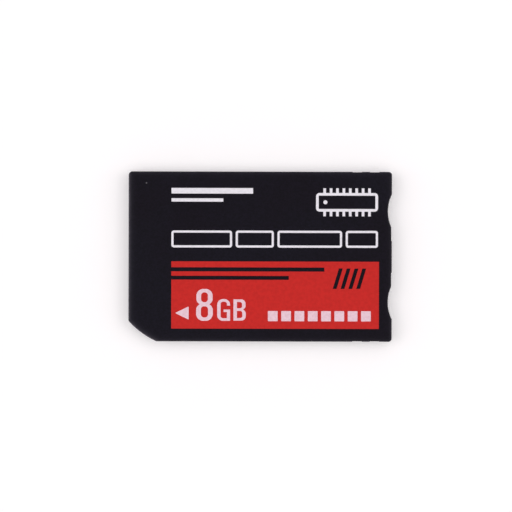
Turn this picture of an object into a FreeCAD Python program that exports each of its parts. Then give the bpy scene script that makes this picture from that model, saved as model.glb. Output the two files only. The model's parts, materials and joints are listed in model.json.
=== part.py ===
"""Flash memory card for handheld consoles: two welded covers around a small circuit board.

The card lies on its back, printed side up, with the middle of its underside at the origin.
X runs along the card, from the insertion edge at -X to the rear edge at +X, and Y runs across it.
"""

import FreeCAD
import Part
import Sketcher
import math
import os
import re

# Driving dimensions in millimetres, apart from the counts: name, value, what it measures
DIMENSIONS = [
    ("card_length", 31.0, "insertion edge to rear edge"),
    ("card_width", 20.0, "side to side"),
    ("front_corner_radius", 0.45, "square corner of the insertion edge, in plan"),
    ("rear_corner_radius", 0.4, "both rear corners, in plan"),
    ("key_cut_length", 3.27, "keyed corner, along the side"),
    ("key_cut_width", 2.39, "keyed corner, along the insertion edge"),
    ("key_cut_radius", 10.0, "bow of the keyed corner"),
    ("key_blend_radius", 0.4, "where the keyed corner runs into its two edges"),
    ("edge_rounding", 0.15, "outer edge of each cover"),
    ("seam_chamfer", 0.04, "edge of each cover along the seam"),
    ("notch_offset", 5.35, "centreline to the middle of a rear notch"),
    ("notch_depth", 0.47, "rear notch, from the rear edge"),
    ("notch_radius", 4.5, "rear notch"),
    ("notch_blend_radius", 0.3, "where a rear notch runs into the rear edge"),
    ("land_width", 3.74, "full-length land in the middle of the rear edge"),
    ("land_depth", 0.09, "step from that land down to the notches"),
    ("grip_count", 2, "finger grips on each side"),
    ("grip_width", 1.15, "finger grip, along the card"),
    ("grip_depth", 0.06, "finger grip, into the side"),
    ("grip_setback", 2.02, "rear edge to the middle of the first grip"),
    ("grip_pitch", 2.06, "one grip to the next"),
    ("floor_thickness", 0.3, "floor of the bottom cover"),
    ("roof_thickness", 0.27, "roof of the top cover"),
    ("side_wall", 0.7, "case wall along the sides"),
    ("front_wall", 0.9, "case wall along the insertion edge"),
    ("rear_wall", 1.2, "case wall along the rear edge"),
    ("lip_depth", 0.1, "seam down to the foot of the top cover's lip"),
    ("lip_width", 0.35, "lip that holds the board down"),
    ("lip_clearance", 0.05, "lip to the bottom cover's wall"),
    ("headroom", 0.08, "flash package to the roof"),
    ("board_thickness", 0.4, "circuit board"),
    ("board_clearance", 0.15, "board edge to the bottom cover's wall"),
    ("contact_count", 10, "contacts in the row"),
    ("contact_width", 0.9, "contact, across the card"),
    ("contact_length", 2.8, "contact, along the card"),
    ("contact_thickness", 0.04, "plating below the board"),
    ("contact_radius", 0.12, "corners of a contact"),
    ("contact_inset", 0.45, "board edge to the front of a contact"),
    ("ground_lead", 0.25, "how far the outer two contacts start ahead of the rest"),
    ("window_gap", 0.05, "contact to the rib beside it"),
    ("window_end_gap", 0.3, "contact to the inner end of its window"),
    ("window_corner_radius", 0.2, "inner corners of a window"),
    ("rib_width", 0.35, "rib between two windows"),
    ("flash_length", 11.5, "flash package, along the card"),
    ("flash_width", 13.0, "flash package, across the card"),
    ("flash_thickness", 0.55, "flash package"),
    ("controller_length", 6.0, "controller package, along the card"),
    ("controller_width", 6.0, "controller package, across the card"),
    ("controller_thickness", 0.5, "controller package"),
    ("package_chamfer", 0.06, "upper edge of a package"),
    ("pin_mark_radius", 0.35, "dimple beside the first lead of a package"),
    ("pin_mark_depth", 0.05, "dimple"),
    ("pin_mark_inset", 0.9, "package sides to the middle of the dimple"),
    ("component_gap", 0.6, "one component to the next, along the card"),
    ("capacitor_count", 6, "capacitors in their row"),
    ("capacitor_pitch", 1.45, "one capacitor to the next"),
    ("capacitor_length", 1.0, "capacitor over its end caps"),
    ("capacitor_width", 0.5, "capacitor"),
    ("capacitor_height", 0.45, "capacitor"),
    ("resistor_count", 4, "resistors in their row"),
    ("resistor_pitch", 1.6, "one resistor to the next"),
    ("resistor_length", 1.0, "resistor over its end caps"),
    ("resistor_width", 0.5, "resistor"),
    ("resistor_height", 0.32, "resistor"),
    ("cap_length", 0.22, "end cap of a capacitor or resistor"),
    ("cap_wrap", 0.02, "how far an end cap stands proud"),
    ("print_thickness", 0.02, "ink on the top cover"),
    ("print_front_margin", 5.05, "insertion edge to the red field"),
    ("print_rear_margin", 1.53, "red field to the rear edge"),
    ("print_side_margin", 1.51, "red field to the side on the keyed corner's half"),
    ("print_height", 7.91, "red field, across the card"),
    ("upper_stripe_drop", 0.7, "top of the red field to the upper stripe"),
    ("upper_stripe_width", 0.475, "upper stripe"),
    ("upper_stripe_gap", 0.99, "end of the upper stripe to the foot of the first slanting bar"),
    ("lower_stripe_drop", 1.7, "top of the red field to the lower stripe"),
    ("lower_stripe_width", 0.45, "lower stripe"),
    ("lower_stripe_gap", 5.17, "end of the lower stripe to the foot of the first slanting bar"),
    ("slash_count", 4, "slanting bars in the red field"),
    ("slash_width", 0.45, "slanting bar, along the card"),
    ("slash_height", 2.4, "slanting bar, across the card"),
    ("slash_lean", 0.72, "foot of a slanting bar to its head, along the card"),
    ("slash_pitch", 0.92, "one slanting bar to the next"),
    ("slash_drop", 0.8, "top of the red field to the slanting bars"),
    ("slash_rear_margin", 1.5, "last slanting bar to the rear end of the red field"),
]

# Places that several pieces share, as formulas of the dimensions
FRONT = "-card_length / 2"
REAR = "card_length / 2"
SIDE = "card_width / 2"
BOARD_TOP = "floor_thickness + board_thickness"
SEAM = f"{BOARD_TOP} + lip_depth"
ROOF_UNDERSIDE = f"{BOARD_TOP} + flash_thickness + headroom"
CARD_TOP = f"{ROOF_UNDERSIDE} + roof_thickness"
BOARD_FRONT = f"{FRONT} + front_wall + board_clearance"
CONTACT_FRONT = f"{BOARD_FRONT} + contact_inset"
CONTACT_REAR = f"{CONTACT_FRONT} + contact_length"
WINDOW_WIDTH = "contact_width + 2 * window_gap"
WINDOW_PITCH = f"({WINDOW_WIDTH} + rib_width)"
FLASH_REAR = f"{REAR} - rear_wall - lip_clearance - lip_width - component_gap"
RESISTOR_REAR = f"{FLASH_REAR} - flash_length - component_gap"
CONTROLLER_REAR = f"{RESISTOR_REAR} - resistor_length - component_gap"
CAPACITOR_REAR = f"{CONTROLLER_REAR} - controller_length - component_gap"
PRINT_FRONT = f"{FRONT} + print_front_margin"
PRINT_REAR = f"{REAR} - print_rear_margin"
PRINT_LOW = f"-{SIDE} + print_side_margin"
PRINT_HIGH = f"{PRINT_LOW} + print_height"

ON_LINE = 1e-6
UP = FreeCAD.Vector(0, 0, 1)


def fill_sheet(doc):
    """Write every driving dimension into the document's sheet under its own name."""
    sheet = doc.addObject("Spreadsheet::Sheet", "dims")
    for row, (name, value, meaning) in enumerate(DIMENSIONS, start=1):
        sheet.set(f"A{row}", meaning)
        sheet.set(f"B{row}", str(value))
        sheet.setAlias(f"B{row}", name)
    doc.recompute()


def formula(words):
    """Return words with each dimension's name written as a cell of the sheet."""
    return re.sub(r"[a-z]\w*", lambda found: f"dims.{found.group()}", words)


def measure(doc, words):
    """Return the present value of a formula."""
    return float(doc.getObject("dims").evalExpression(formula(words)))


def count(doc, name):
    """Return a count from the sheet as a whole number."""
    return round(measure(doc, name))


def tie(thing, property_name, words):
    """Bind a property of a document object to a formula."""
    thing.setExpression(property_name, formula(words))


def origin_feature(body, role):
    """Return one of a body's own origin planes or axes."""
    return next(item for item in body.Origin.OriginFeatures if item.Role == role)


def new_body(doc, label):
    """Start the body of one named piece."""
    body = doc.addObject("PartDesign::Body", label)
    body.Label = label
    return body


def new_sketch(body, name, height):
    """Start a sketch that looks down on the card at a height given as a formula."""
    sketch = body.newObject("Sketcher::SketchObject", f"{body.Name}_{name}")
    sketch.AttachmentSupport = (origin_feature(body, "XY_Plane"), [""])
    sketch.MapMode = "FlatFace"
    tie(sketch, "AttachmentOffset.Base.z", height)
    return sketch


def pin_point(sketch, side, end, corner):
    """Tie one end of a drawn side to a corner, a pair of formulas for X and Y."""
    for kind, words in zip(("DistanceX", "DistanceY"), corner):
        value = measure(sketch.Document, words)
        index = sketch.addConstraint(Sketcher.Constraint(kind, -1, 1, side, end, value))
        tie(sketch, f"Constraints[{index}]", words)


def pin_radius(sketch, side, words):
    """Tie the radius of a drawn arc or circle to a formula."""
    value = measure(sketch.Document, words)
    index = sketch.addConstraint(Sketcher.Constraint("Radius", side, value))
    tie(sketch, f"Constraints[{index}]", words)


def outward_arc(start, end, radius):
    """Return the arc from start to end that bulges out of a loop drawn anticlockwise."""
    chord = end - start
    reach = math.sqrt(radius ** 2 - (chord.Length / 2) ** 2)
    inward = UP.cross(chord).normalize()
    centre = (start + end) / 2 + inward * reach
    angles = [math.atan2(point.y - centre.y, point.x - centre.x) for point in (start, end)]
    return Part.ArcOfCircle(Part.Circle(centre, UP, radius), *angles)


def draw_loop(sketch, corners, bows=None):
    """Draw a closed loop anticlockwise through corners, each a pair of formulas.

    bows gives the radius of each side that is an arc and not a straight line, by the side's number.
    """
    bows = bows or {}
    doc = sketch.Document
    points = [FreeCAD.Vector(measure(doc, x), measure(doc, y), 0) for x, y in corners]
    ends = points[1:] + points[:1]
    sides = []
    for number, (start, end) in enumerate(zip(points, ends)):
        if number in bows:
            line = outward_arc(start, end, measure(doc, bows[number]))
        else:
            line = Part.LineSegment(start, end)
        sides.append(sketch.addGeometry(line))
    for side, following in zip(sides, sides[1:] + sides[:1]):
        sketch.addConstraint(Sketcher.Constraint("Coincident", side, 2, following, 1))
    for side, corner in zip(sides, corners):
        pin_point(sketch, side, 1, corner)
    for number, radius in bows.items():
        pin_radius(sketch, sides[number], radius)


def draw_circle(sketch, centre, radius):
    """Draw a circle round a centre given as a pair of formulas."""
    doc = sketch.Document
    middle = FreeCAD.Vector(measure(doc, centre[0]), measure(doc, centre[1]), 0)
    side = sketch.addGeometry(Part.Circle(middle, UP, measure(doc, radius)))
    pin_point(sketch, side, 3, centre)
    pin_radius(sketch, side, radius)


def rectangle(low_x, high_x, low_y, high_y):
    """Return the four corners of a rectangle, anticlockwise."""
    return [(low_x, low_y), (high_x, low_y), (high_x, high_y), (low_x, high_y)]


def pad(body, sketch, name, length, downwards=False):
    """Raise a sketch into a solid of the length that a formula gives."""
    feature = body.newObject("PartDesign::Pad", f"{body.Name}_{name}")
    feature.Profile = sketch
    feature.Reversed = downwards
    tie(feature, "Length", length)
    body.Document.recompute()
    return feature


def pocket(body, sketch, name, depth, upwards=False):
    """Sink a sketch into the body by a formula's depth, and make sure that it cuts."""
    before = body.Shape.Volume
    feature = body.newObject("PartDesign::Pocket", f"{body.Name}_{name}")
    feature.Profile = sketch
    feature.Reversed = upwards
    tie(feature, "Length", depth)
    body.Document.recompute()
    if body.Shape.Volume >= before:
        raise RuntimeError(f"{feature.Name} cuts nothing")
    return feature


def mirror_across(body, name, features):
    """Repeat features on the other side of the card's centreline."""
    feature = body.newObject("PartDesign::Mirrored", f"{body.Name}_{name}")
    feature.Originals = features
    feature.MirrorPlane = (origin_feature(body, "XZ_Plane"), [""])
    body.Tip = feature
    body.Document.recompute()
    return feature


def repeat_along(body, name, features, axis, pitch, number, backwards=False):
    """Repeat features along an axis, a whole number of times at a pitch."""
    feature = body.newObject("PartDesign::LinearPattern", f"{body.Name}_{name}")
    feature.Originals = features
    feature.Direction = (origin_feature(body, axis), [""])
    feature.Reversed = backwards
    tie(feature, "Length", f"({number} - 1) * {pitch}")
    tie(feature, "Occurrences", number)
    body.Tip = feature
    body.Document.recompute()
    return feature


def edge_names(shape, wanted):
    """Return the names of a shape's edges that pass a test."""
    return [f"Edge{number}" for number, edge in enumerate(shape.Edges, start=1) if wanted(edge)]


def stands_upright(edge):
    """Tell whether an edge is a straight line that runs up the card."""
    return abs(edge.tangentAt(edge.FirstParameter).z) > 1 - ON_LINE


def lies_level(edge, level):
    """Tell whether an edge lies flat at a level."""
    box = edge.BoundBox
    return abs(box.ZMin - level) < ON_LINE and abs(box.ZMax - level) < ON_LINE


def corner_names(body, places):
    """Return the names of the upright edges at places in plan, each a pair of formulas."""
    spots = [(measure(body.Document, x), measure(body.Document, y)) for x, y in places]

    def wanted(edge):
        middle = edge.CenterOfMass
        distances = [math.hypot(middle.x - x, middle.y - y) for x, y in spots]
        return stands_upright(edge) and min(distances) < ON_LINE

    return edge_names(body.Tip.Shape, wanted)


def notch_end_names(body):
    """Return the names of the upright edges where the rear notches meet the rear edge."""
    rear = measure(body.Document, REAR)
    inside = measure(body.Document, f"{SIDE} - rear_corner_radius") - ON_LINE

    def wanted(edge):
        middle = edge.CenterOfMass
        return stands_upright(edge) and abs(middle.x - rear) < ON_LINE and abs(middle.y) < inside

    return edge_names(body.Tip.Shape, wanted)


def rim_names(body, height):
    """Return the names of the edges round the body's level face at a height."""
    level = measure(body.Document, height)
    return edge_names(body.Tip.Shape, lambda edge: lies_level(edge, level))


def dress_edges(body, kind, name, names, size_name, size):
    """Fillet or chamfer named edges of the body's last feature."""
    base = body.Tip
    feature = body.newObject(kind, f"{body.Name}_{name}")
    feature.Base = (base, names)
    tie(feature, size_name, size)
    body.Tip = feature
    body.Document.recompute()
    return feature


def round_edges(body, name, names, radius):
    """Round named edges of the body's last feature."""
    return dress_edges(body, "PartDesign::Fillet", name, names, "Radius", radius)


def chamfer_edges(body, name, names, size):
    """Chamfer named edges of the body's last feature."""
    return dress_edges(body, "PartDesign::Chamfer", name, names, "Size", size)


def inner_outline(gap):
    """Return the corners of the case's inside, drawn in from its walls by a gap."""
    low_x = f"{FRONT} + front_wall + {gap}"
    high_x = f"{REAR} - rear_wall - ({gap})"
    low_y = f"-{SIDE} + side_wall + {gap}"
    high_y = f"{SIDE} - side_wall - ({gap})"
    return [
        (f"{low_x} + key_cut_length", low_y),
        (high_x, low_y),
        (high_x, high_y),
        (low_x, high_y),
        (low_x, f"{low_y} + key_cut_width"),
    ]


def cover_blank(doc, label, low, high, outer, inner):
    """Return the solid blank of a cover between two heights, with its plan, notches, edges and grips.

    outer is the height of its rounded outer edge and inner the height of its seam.
    """
    body = new_body(doc, label)
    height = f"{high} - ({low})"
    key_side = (f"{FRONT} + key_cut_length", f"-{SIDE}")
    key_front = (FRONT, f"-{SIDE} + key_cut_width")
    rear_low = (REAR, f"-{SIDE}")
    rear_high = (REAR, SIDE)
    front_high = (FRONT, SIDE)

    plan = new_sketch(body, "plan", low)
    draw_loop(plan, [key_side, rear_low, rear_high, front_high, key_front], bows={4: "key_cut_radius"})
    pad(body, plan, "blank", height)

    notch = new_sketch(body, "notch_plan", high)
    draw_circle(notch, (f"{REAR} - notch_depth + notch_radius", "notch_offset"), "notch_radius")
    notch_cut = pocket(body, notch, "notch", height)
    mirror_across(body, "notches", [notch_cut])

    round_edges(body, "front_corner", corner_names(body, [front_high]), "front_corner_radius")
    round_edges(body, "rear_corners", corner_names(body, [rear_low, rear_high]), "rear_corner_radius")
    round_edges(body, "key_blends", corner_names(body, [key_side, key_front]), "key_blend_radius")
    round_edges(body, "notch_blends", notch_end_names(body), "notch_blend_radius")
    round_edges(body, "outer_edge", rim_names(body, outer), "edge_rounding")

    land = new_sketch(body, "land_plan", high)
    draw_loop(land, rectangle(f"{REAR} - land_depth", f"{REAR} + land_depth",
                              "land_width / 2", "notch_offset"))
    land_cut = pocket(body, land, "land", height)
    mirror_across(body, "lands", [land_cut])

    grip = new_sketch(body, "grip_plan", high)
    grip_middle = f"{REAR} - grip_setback"
    for side in (f"-{SIDE}", SIDE):
        draw_loop(grip, rectangle(f"{grip_middle} - grip_width / 2", f"{grip_middle} + grip_width / 2",
                                  f"{side} - grip_depth", f"{side} + grip_depth"))
    grip_cut = pocket(body, grip, "grips", height)
    repeat_along(body, "grip_row", [grip_cut], "X_Axis", "grip_pitch", "grip_count", backwards=True)
    chamfer_edges(body, "seam_edge", rim_names(body, inner), "seam_chamfer")
    return body


def make_bottom_cover(doc):
    """Make the lower half of the case, with a window for each contact at the insertion edge."""
    body = cover_blank(doc, "bottom_cover", low="0", high=SEAM, outer="0", inner=SEAM)

    inside = new_sketch(body, "inside_plan", SEAM)
    draw_loop(inside, inner_outline("0"))
    pocket(body, inside, "inside", f"{SEAM} - floor_thickness")

    low_y = f"-(contact_count - 1) / 2 * {WINDOW_PITCH} - ({WINDOW_WIDTH}) / 2"
    high_y = f"{low_y} + {WINDOW_WIDTH}"
    outside = f"{FRONT} - front_wall"
    inner_end = f"{CONTACT_REAR} + window_end_gap"
    corner_x = f"{inner_end} - window_corner_radius"
    corners = [
        (outside, low_y),
        (corner_x, low_y),
        (inner_end, f"{low_y} + window_corner_radius"),
        (inner_end, f"{high_y} - window_corner_radius"),
        (corner_x, high_y),
        (outside, high_y),
    ]
    window = new_sketch(body, "window_plan", "0")
    draw_loop(window, corners, bows={1: "window_corner_radius", 3: "window_corner_radius"})
    window_cut = pocket(body, window, "window", "floor_thickness", upwards=True)
    repeat_along(body, "window_row", [window_cut], "Y_Axis", WINDOW_PITCH, "contact_count")
    return body


def make_top_cover(doc):
    """Make the upper half of the case, with the lip that locates it and holds the board down."""
    body = cover_blank(doc, "top_cover", low=SEAM, high=CARD_TOP, outer=CARD_TOP, inner=SEAM)

    lip_inside = "lip_clearance + lip_width"
    inside = new_sketch(body, "inside_plan", SEAM)
    draw_loop(inside, inner_outline(lip_inside))
    pocket(body, inside, "inside", f"{ROOF_UNDERSIDE} - ({SEAM})", upwards=True)

    lip = new_sketch(body, "lip_plan", SEAM)
    draw_loop(lip, inner_outline("lip_clearance"))
    draw_loop(lip, inner_outline(lip_inside))
    pad(body, lip, "lip", "lip_depth", downwards=True)
    return body


def make_circuit_board(doc):
    """Make the board, cut to the inside of the case and resting on its floor."""
    body = new_body(doc, "circuit_board")
    plan = new_sketch(body, "plan", "floor_thickness")
    draw_loop(plan, inner_outline("board_clearance"))
    pad(body, plan, "plate", "board_thickness")
    return body


def make_contact(doc, number, last):
    """Make one plated contact on the underside of the board, inside its window."""
    body = new_body(doc, f"contact_{number + 1:02d}")
    is_ground = number in (0, last)
    front = f"{CONTACT_FRONT} - ground_lead" if is_ground else CONTACT_FRONT
    middle = f"({number} - (contact_count - 1) / 2) * {WINDOW_PITCH}"
    low_y = f"{middle} - contact_width / 2"
    high_y = f"{middle} + contact_width / 2"
    radius = "contact_radius"
    corners = [
        (f"{front} + {radius}", low_y),
        (f"{CONTACT_REAR} - {radius}", low_y),
        (CONTACT_REAR, f"{low_y} + {radius}"),
        (CONTACT_REAR, f"{high_y} - {radius}"),
        (f"{CONTACT_REAR} - {radius}", high_y),
        (f"{front} + {radius}", high_y),
        (front, f"{high_y} - {radius}"),
        (front, f"{low_y} + {radius}"),
    ]
    plan = new_sketch(body, "plan", "floor_thickness")
    draw_loop(plan, corners, bows={1: radius, 3: radius, 5: radius, 7: radius})
    pad(body, plan, "plate", "contact_thickness", downwards=True)
    return body


def make_package(doc, label, kind, rear):
    """Make a moulded chip package on the board, with a dimple beside its first lead."""
    body = new_body(doc, label)
    top = f"{BOARD_TOP} + {kind}_thickness"
    front = f"{rear} - {kind}_length"
    high_y = f"{kind}_width / 2"
    plan = new_sketch(body, "plan", BOARD_TOP)
    draw_loop(plan, rectangle(front, rear, f"-{high_y}", high_y))
    pad(body, plan, "moulding", f"{kind}_thickness")
    chamfer_edges(body, "upper_edge", rim_names(body, top), "package_chamfer")
    mark = new_sketch(body, "mark_plan", top)
    draw_circle(mark, (f"{front} + pin_mark_inset", f"{high_y} - pin_mark_inset"), "pin_mark_radius")
    pocket(body, mark, "mark", "pin_mark_depth")
    return body


def make_block(doc, name, size, place):
    """Make a box from three formulas for its size and three for its lowest corner."""
    block = doc.addObject("Part::Box", name)
    for property_name, words in zip(("Length", "Width", "Height"), size):
        tie(block, property_name, words)
    for axis, words in zip("xyz", place):
        tie(block, f"Placement.Base.{axis}", words)
    return block


def make_chip_part(doc, kind, number, rear):
    """Make one capacitor or resistor: a block with a proud metal cap on each end."""
    label = f"{kind}_{number + 1}"
    front = f"{rear} - {kind}_length"
    low_y = f"({number} - ({kind}_count - 1) / 2) * {kind}_pitch - {kind}_width / 2"
    cap_size = ("cap_length", f"{kind}_width", f"{kind}_height")
    core_size = (f"{kind}_length - cap_length", f"{kind}_width - 2 * cap_wrap",
                 f"{kind}_height - 2 * cap_wrap")
    core_place = (f"{front} + cap_length / 2", f"{low_y} + cap_wrap", f"{BOARD_TOP} + cap_wrap")
    whole = doc.addObject("Part::MultiFuse", label)
    whole.Label = label
    whole.Shapes = [
        make_block(doc, f"{label}_core", core_size, core_place),
        make_block(doc, f"{label}_front_cap", cap_size, (front, low_y, BOARD_TOP)),
        make_block(doc, f"{label}_rear_cap", cap_size, (f"{rear} - cap_length", low_y, BOARD_TOP)),
    ]
    return whole


def make_red_print(doc):
    """Make the red ink field on the top cover, open where its stripes and slanting bars show the case."""
    body = new_body(doc, "red_print")
    plan = new_sketch(body, "plan", CARD_TOP)
    draw_loop(plan, rectangle(PRINT_FRONT, PRINT_REAR, PRINT_LOW, PRINT_HIGH))
    pad(body, plan, "field", "print_thickness")

    surface = f"{CARD_TOP} + print_thickness"
    head_y = f"{PRINT_HIGH} - slash_drop"
    foot_y = f"{head_y} - slash_height"
    head_x = f"{PRINT_REAR} - slash_rear_margin"
    foot_x = f"{head_x} - slash_lean"
    slash = new_sketch(body, "slash_plan", surface)
    draw_loop(slash, [
        (f"{foot_x} - slash_width", foot_y),
        (foot_x, foot_y),
        (head_x, head_y),
        (f"{head_x} - slash_width", head_y),
    ])
    slash_cut = pocket(body, slash, "slash", "print_thickness")
    repeat_along(body, "slash_row", [slash_cut], "X_Axis", "slash_pitch", "slash_count", backwards=True)

    first_foot = f"{foot_x} - slash_width - (slash_count - 1) * slash_pitch"
    for name in ("upper_stripe", "lower_stripe"):
        high_y = f"{PRINT_HIGH} - {name}_drop"
        low_y = f"{high_y} - {name}_width"
        stripe = new_sketch(body, f"{name}_plan", surface)
        draw_loop(stripe, rectangle(PRINT_FRONT, f"{first_foot} - {name}_gap", low_y, high_y))
        pocket(body, stripe, name, "print_thickness")
    return body


def make_pieces(doc):
    """Make every piece of the card, and return them."""
    pieces = [
        make_bottom_cover(doc),
        make_top_cover(doc),
        make_red_print(doc),
        make_circuit_board(doc),
        make_package(doc, "flash_chip", "flash", FLASH_REAR),
        make_package(doc, "controller_chip", "controller", CONTROLLER_REAR),
    ]
    contacts = count(doc, "contact_count")
    pieces += [make_contact(doc, number, contacts - 1) for number in range(contacts)]
    pieces += [make_chip_part(doc, "capacitor", number, CAPACITOR_REAR)
               for number in range(count(doc, "capacitor_count"))]
    pieces += [make_chip_part(doc, "resistor", number, RESISTOR_REAR)
               for number in range(count(doc, "resistor_count"))]
    return pieces


def check_document(doc, pieces):
    """Stop if any object failed, or if a piece isn't one valid solid."""
    failed = [item.Name for item in doc.Objects if {"Invalid", "Error"} & set(item.State)]
    if failed:
        raise RuntimeError(f"failed objects: {failed}")
    for piece in pieces:
        shape = piece.Shape
        if shape.isNull() or not shape.isValid() or len(shape.Solids) != 1:
            raise RuntimeError(f"{piece.Label} isn't one valid solid")


def main():
    """Build the card and write each piece to its own file."""
    doc = FreeCAD.newDocument("memory_card")
    fill_sheet(doc)
    pieces = make_pieces(doc)
    doc.recompute()
    check_document(doc, pieces)
    os.makedirs("parts", exist_ok=True)
    for piece in pieces:
        piece.Shape.exportStep(f"parts/{piece.Label}.step")
        print(f"{piece.Label}: {piece.Shape.Volume:.4f} mm3")


main()
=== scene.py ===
"""Flash memory card: the finish of every piece, the printed marks, the studio and the camera.

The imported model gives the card's sizes and places. Lengths named here are millimetres and angles are degrees,
unless a name or a comment says otherwise.
"""

from __future__ import annotations

import json
import logging
import math
from dataclasses import dataclass
from enum import Enum

import bmesh
import bpy
from mathutils import Matrix, Vector

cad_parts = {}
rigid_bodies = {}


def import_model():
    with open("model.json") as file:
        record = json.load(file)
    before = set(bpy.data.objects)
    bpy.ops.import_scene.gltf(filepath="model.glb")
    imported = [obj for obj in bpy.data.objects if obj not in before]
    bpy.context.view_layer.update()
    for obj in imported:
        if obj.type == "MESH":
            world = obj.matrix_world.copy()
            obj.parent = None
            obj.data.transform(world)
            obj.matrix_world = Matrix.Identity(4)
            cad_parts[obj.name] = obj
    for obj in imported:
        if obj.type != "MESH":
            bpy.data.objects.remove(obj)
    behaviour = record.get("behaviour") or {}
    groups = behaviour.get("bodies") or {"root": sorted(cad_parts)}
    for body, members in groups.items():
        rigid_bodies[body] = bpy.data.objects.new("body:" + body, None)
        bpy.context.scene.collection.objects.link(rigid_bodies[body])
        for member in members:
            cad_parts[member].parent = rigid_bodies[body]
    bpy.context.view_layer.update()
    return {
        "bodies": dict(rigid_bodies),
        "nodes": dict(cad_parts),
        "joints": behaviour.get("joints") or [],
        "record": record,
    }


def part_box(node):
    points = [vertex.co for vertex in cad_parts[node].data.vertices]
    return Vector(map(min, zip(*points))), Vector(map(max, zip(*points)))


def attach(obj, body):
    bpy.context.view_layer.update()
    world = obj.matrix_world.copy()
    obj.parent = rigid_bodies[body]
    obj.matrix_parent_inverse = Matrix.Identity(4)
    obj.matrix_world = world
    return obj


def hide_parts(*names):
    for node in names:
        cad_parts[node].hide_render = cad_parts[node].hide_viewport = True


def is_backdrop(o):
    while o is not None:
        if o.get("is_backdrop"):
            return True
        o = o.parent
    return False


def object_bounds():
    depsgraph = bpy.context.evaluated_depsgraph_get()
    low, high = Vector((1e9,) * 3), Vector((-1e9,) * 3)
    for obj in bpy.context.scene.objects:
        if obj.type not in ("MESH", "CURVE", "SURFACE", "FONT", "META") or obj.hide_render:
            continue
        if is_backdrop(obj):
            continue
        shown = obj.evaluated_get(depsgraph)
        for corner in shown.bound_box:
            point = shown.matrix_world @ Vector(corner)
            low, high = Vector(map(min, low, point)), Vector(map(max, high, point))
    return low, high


Rgb = tuple[float, float, float]
Triple = tuple[float, float, float]
Spot = tuple[float, float]
Span = tuple[float, float]

MM = 0.001
LOG = logging.getLogger("memory_card")
BODY = "root"
WHITE: Rgb = (1.0, 1.0, 1.0)

# Nearly all values of a noise pattern lie in this span.
NOISE_SPAN: Span = (0.3, 0.7)

# A wave pattern of scale 1 repeats after this length.
WAVE_LENGTH = math.tau / 20


class Slot(Enum):
    """The record's material slots of the pieces that are made here."""

    CASE = "case_plastic"
    INK = "white_ink"


class Side(Enum):
    """Which way a pen turns, seen from above."""

    LEFT = 1
    RIGHT = -1


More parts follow.
